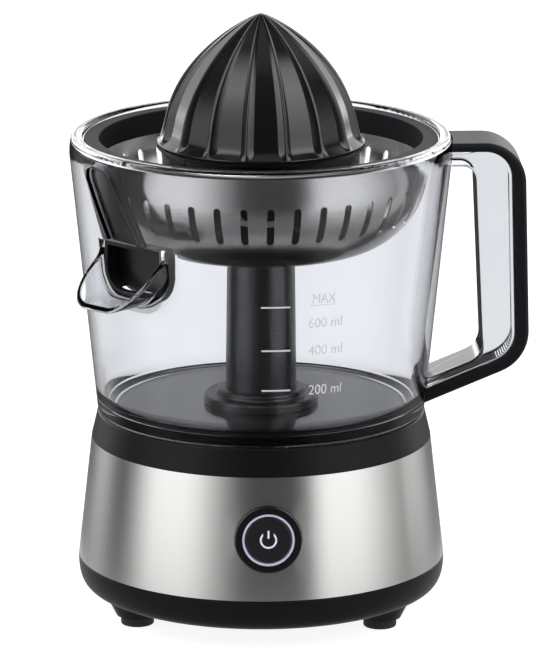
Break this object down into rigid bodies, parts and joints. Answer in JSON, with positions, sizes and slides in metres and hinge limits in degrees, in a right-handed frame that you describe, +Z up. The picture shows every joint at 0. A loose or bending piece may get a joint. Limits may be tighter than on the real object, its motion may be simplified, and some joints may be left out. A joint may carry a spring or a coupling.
{
  "type": "electric citrus juicer",
  "caption": "Electric citrus juicer: round steel-banded motor base with a power button, clear handled jug with a pouring scoop, slotted steel strainer bowl and a black fluted reamer.",
  "frame": {"origin": "on the drive axis, at the level the feet stand on", "axes": "+Z up the drive axis, -Y out through the power button, +X towards the handle"},
  "size_m": [0.1876, 0.1564, 0.2492],
  "materials": {
    "black_abs": "satin moulded black",
    "black_rubber": "matt black rubber",
    "screw_steel": "bright zinc on steel",
    "band_steel": "brushed stainless sheet",
    "bezel_black": "gloss black",
    "light_diffuser": "milky, lit from behind",
    "cap_black": "satin black",
    "symbol_white": "white insert",
    "board_green": "green solder mask",
    "switch_black": "black moulded",
    "led_white": "white package",
    "plate_zinc": "zinc-plated sheet",
    "motor_steel": "drawn and plated steel can",
    "motor_cap_black": "moulded black",
    "bush_bronze": "sintered bronze",
    "rotor_iron": "stacked iron sheets",
    "shaft_steel": "ground steel",
    "pinion_brass": "cut brass",
    "gear_acetal": "off-white acetal",
    "tower_black": "moulded black",
    "jug_clear": "clear, polished",
    "guard_black": "gloss black",
    "grip_black": "satin black",
    "column_black": "satin to gloss black",
    "bowl_steel": "spun stainless sheet",
    "ring_black": "satin black",
    "reamer_black": "gloss black"
  },
  "bodies": {
    "base": {"base_pan": "black_abs", "feet": "black_rubber", "pan_screws": "screw_steel", "cord_gland": "black_rubber", "steel_band": "band_steel", "top_housing": "black_abs", "button_bezel": "bezel_black", "light_ring": "light_diffuser", "button_spring": "screw_steel", "control_board": "board_green", "board_screws": "screw_steel", "tact_switch": "switch_black", "ring_leds": "led_white", "gear_plate": "plate_zinc", "gear_plate_screws": "screw_steel", "motor_can": "motor_steel", "motor_end_cap": "motor_cap_black", "motor_bushes": "bush_bronze", "motor_screws": "screw_steel", "idler_pin": "shaft_steel", "lower_bush": "bush_bronze", "drive_tower": "tower_black", "tower_screws": "screw_steel", "tower_bushes": "bush_bronze", "shaft_seal": "black_rubber"},
    "button": {"button_cap": "cap_black", "power_symbol": "symbol_white"},
    "rotor": {"rotor_core": "rotor_iron", "rotor_shaft": "shaft_steel", "motor_pinion": "pinion_brass"},
    "idler": {"idler_gear": "gear_acetal"},
    "drive": {"drive_shaft": "shaft_steel", "output_gear": "gear_acetal", "shaft_circlip": "screw_steel"},
    "jug": {"jug": "jug_clear", "jug_handle": "jug_clear", "handle_grip": "grip_black", "spout_guard": "guard_black", "centre_column": "column_black", "column_seal": "black_rubber", "column_nut": "column_black"},
    "strainer": {"strainer_ring": "ring_black", "strainer_bowl": "bowl_steel", "strainer_hub": "ring_black"},
    "washer": {"thrust_washer": "gear_acetal"},
    "reamer": {"reamer": "reamer_black", "reamer_socket": "gear_acetal"}
  },
  "joints": [
    {"name": "button_press", "type": "slide", "parent": "base", "child": "button", "axis": [0, 0.9937, -0.1123], "range_m": [0, 0.0014], "stiffness_N_per_m": 500, "springref_m": -0.001, "deforming": ["button_spring"]},
    {"name": "rotor_spin", "type": "hinge", "parent": "base", "child": "rotor", "pos_m": [0.01575, 0.01623, 0.036], "axis": [0, 0, 1], "continuous": true},
    {"name": "idler_spin", "type": "hinge", "parent": "base", "child": "idler", "pos_m": [0, 0.035, 0.0583], "axis": [0, 0, 1], "continuous": true},
    {"name": "drive_spin", "type": "hinge", "parent": "base", "child": "drive", "pos_m": [0, 0, 0.0663], "axis": [0, 0, 1], "continuous": true},
    {"name": "jug_lift", "type": "slide", "parent": "base", "child": "jug", "axis": [0, 0, 1], "range_m": [0, 0.13]},
    {"name": "strainer_lift", "type": "slide", "parent": "jug", "child": "strainer", "axis": [0, 0, 1], "range_m": [0, 0.07]},
    {"name": "reamer_lift", "type": "slide", "parent": "strainer", "child": "washer", "axis": [0, 0, 1], "range_m": [0, 0.045]},
    {"name": "reamer_spin", "type": "hinge", "parent": "washer", "child": "reamer", "pos_m": [0, 0, 0.194], "axis": [0, 0, 1], "continuous": true}
  ],
  "couplings": [
    {"joint": "idler_spin", "follows": "rotor_spin", "ratio": -0.25},
    {"joint": "drive_spin", "follows": "rotor_spin", "ratio": 0.0625},
    {"joint": "reamer_spin", "follows": "rotor_spin", "ratio": 0.0625}
  ]
}
